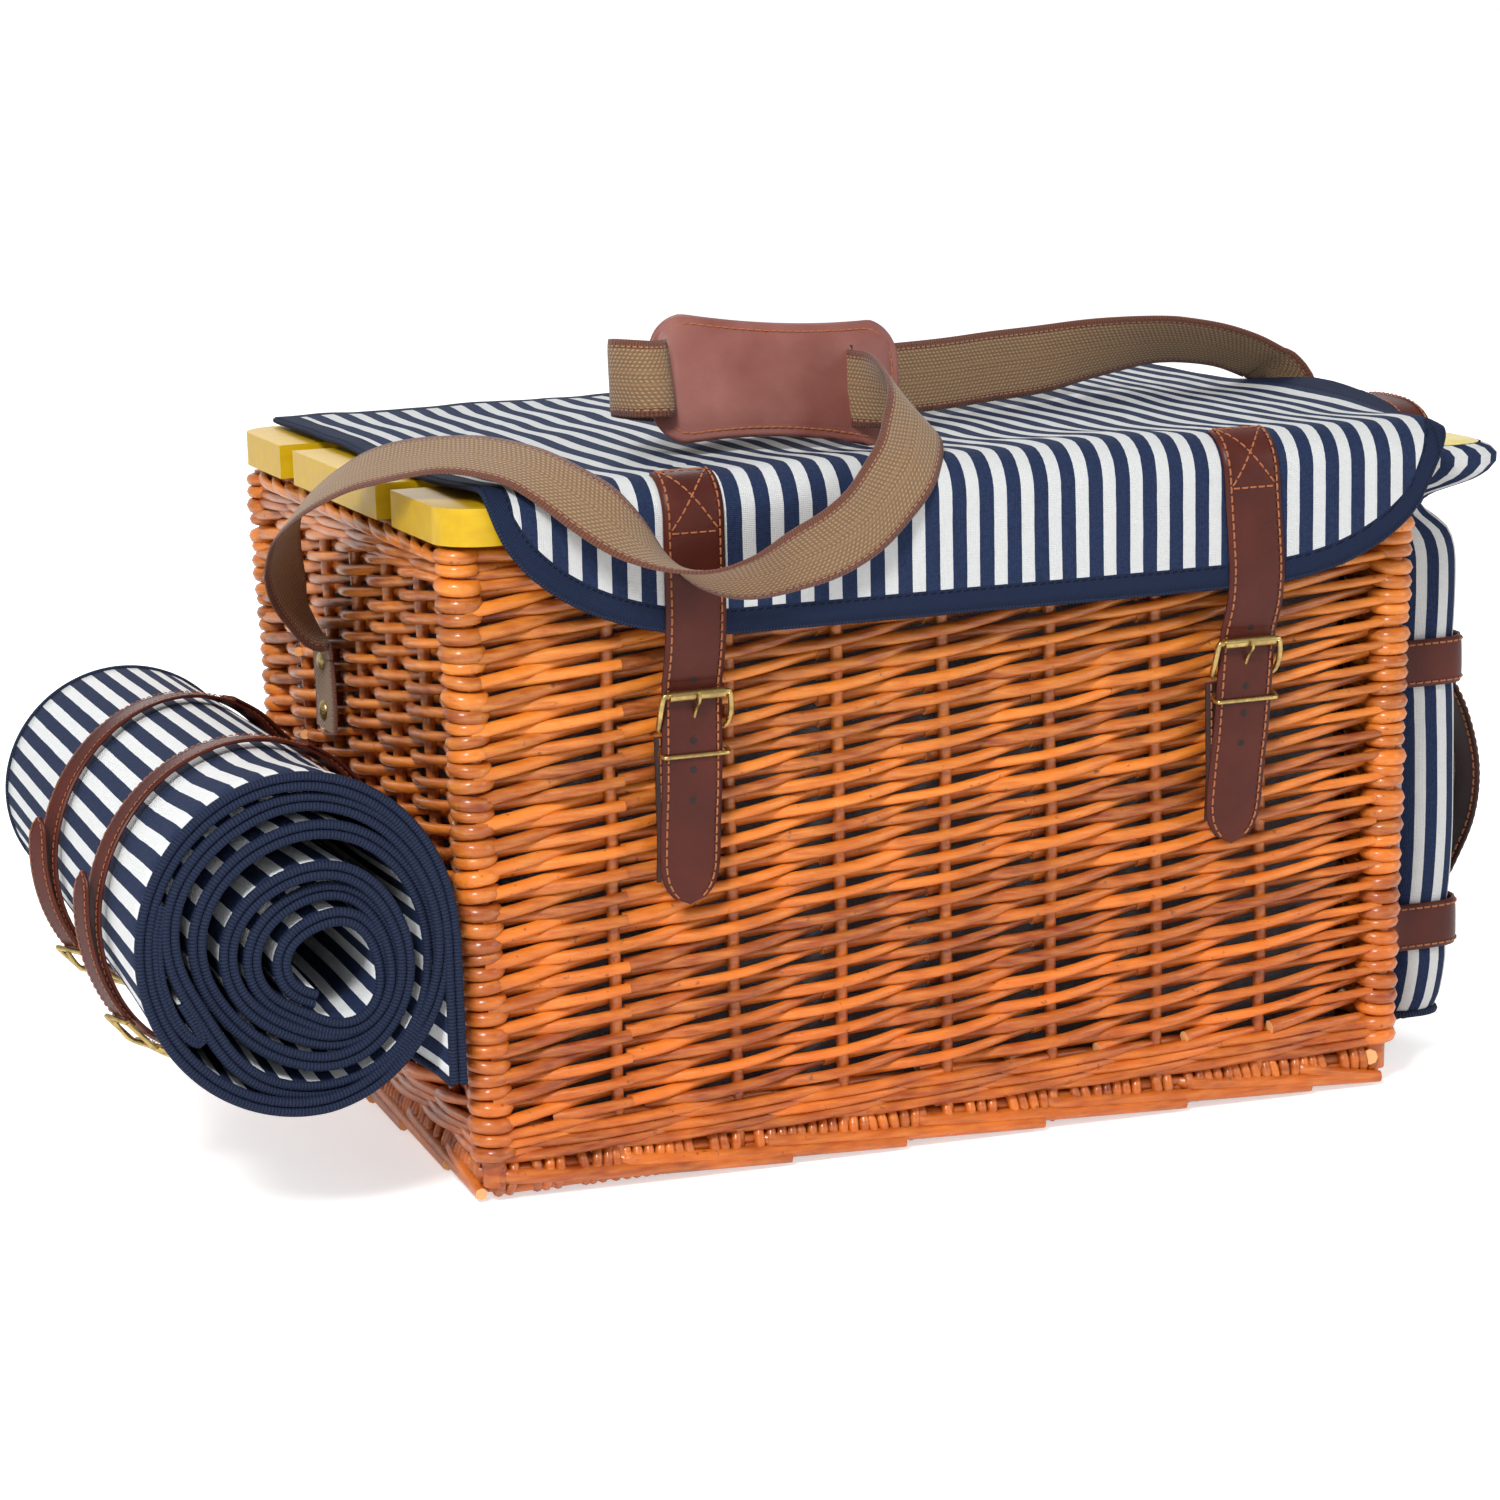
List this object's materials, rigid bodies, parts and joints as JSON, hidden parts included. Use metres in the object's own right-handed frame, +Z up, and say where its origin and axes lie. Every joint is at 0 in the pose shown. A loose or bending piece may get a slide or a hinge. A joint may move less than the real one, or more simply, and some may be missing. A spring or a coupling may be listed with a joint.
{
  "type": "picnic hamper",
  "caption": "Woven wicker basket with hinged plank lid under a striped canvas cover, buckled straps, shoulder strap, belted blanket roll and harnessed cooler bag.",
  "frame": {"origin": "centre of the basket's foot, on the plane it stands on", "axes": "+Z up, +X to the right along the basket's front (the cooler bag's side), +Y to the back (the hinge side)"},
  "size_m": [0.7668, 0.4549, 0.421],
  "materials": {
    "wicker": "satin",
    "wicker_dark": "satin",
    "plank_paint": "painted satin",
    "lining_cloth": "matt",
    "brass": "aged",
    "leather": "satin",
    "leather_dark": "satin",
    "webbing": "matt",
    "striped_canvas": "striped, matt",
    "striped_blanket": "striped, matt",
    "bag_canvas": "striped, matt",
    "bag_lining_foil": "satin"
  },
  "bodies": {
    "basket": {"front_wall": "wicker", "back_wall": "wicker", "left_wall": "wicker", "right_wall": "wicker", "front_stakes": "wicker_dark", "back_stakes": "wicker_dark", "left_stakes": "wicker_dark", "right_stakes": "wicker_dark", "corner_posts": "wicker", "foot_border": "wicker", "rim_border": "wicker", "base_mat": "wicker", "base_sticks": "wicker_dark", "lining": "lining_cloth", "hinge_leaves_fixed": "brass", "hinge_pins": "brass", "strap_tab_left": "leather_dark", "strap_tab_right": "leather_dark", "web_end_left": "webbing", "web_end_right": "webbing", "web_rivets_left": "brass", "web_rivets_right": "brass", "web_leg_left": "webbing", "web_leg_right": "webbing", "blanket_belt_front": "leather", "blanket_belt_back": "leather", "belt_buckles": "brass", "harness_band_upper": "leather", "harness_band_lower": "leather", "harness_sling": "leather_dark", "harness_rivets": "brass"},
    "lid": {"front_plank": "plank_paint", "middle_plank": "plank_paint", "back_plank": "plank_paint", "battens": "plank_paint", "batten_screws": "brass", "hinge_leaves_moving": "brass", "hinge_screws": "brass", "canvas_cover": "striped_canvas", "cover_margin": "striped_canvas", "strap_left": "leather", "strap_right": "leather", "buckle_frame_left": "brass", "buckle_frame_right": "brass", "shoulder_pad": "leather", "web_pad_run": "webbing", "web_front": "webbing", "web_rear": "webbing"},
    "roller_left": {"buckle_roller_left": "brass"},
    "roller_right": {"buckle_roller_right": "brass"},
    "prong_left": {"buckle_prong_left": "brass"},
    "prong_right": {"buckle_prong_right": "brass"},
    "blanket": {"blanket_roll": "striped_blanket"},
    "cooler_bag": {"bag_body": "bag_canvas", "bag_lining": "bag_lining_foil", "bag_collar": "bag_canvas", "bag_handle": "leather"}
  },
  "joints": [
    {"name": "lid_hinge", "type": "hinge", "parent": "basket", "child": "lid", "pos_m": [0, 0.203, 0.325], "axis": [-1, 0, 0], "range_deg": [0, 100], "deforming": ["web_leg_left", "web_leg_right"]},
    {"name": "blanket_slide", "type": "slide", "parent": "basket", "child": "blanket", "axis": [-0.0128, -0.9997, -0.0205], "range_m": [0, 0.36]},
    {"name": "bag_lift", "type": "slide", "parent": "basket", "child": "cooler_bag", "axis": [0, 0, 1], "range_m": [0, 0.3], "deforming": ["cover_margin"]},
    {"name": "roller_left_spin", "type": "hinge", "parent": "lid", "child": "roller_left", "pos_m": [-0.1415, -0.2042, 0.247], "axis": [1, 0, 0], "continuous": true},
    {"name": "prong_left_turn", "type": "hinge", "parent": "lid", "child": "prong_left", "pos_m": [-0.1415, -0.1953, 0.229], "axis": [1, 0, 0], "range_deg": [0, 60]},
    {"name": "roller_right_spin", "type": "hinge", "parent": "lid", "child": "roller_right", "pos_m": [0.1545, -0.2042, 0.247], "axis": [1, 0, 0], "continuous": true},
    {"name": "prong_right_turn", "type": "hinge", "parent": "lid", "child": "prong_right", "pos_m": [0.1545, -0.1953, 0.229], "axis": [1, 0, 0], "range_deg": [0, 60]}
  ]
}
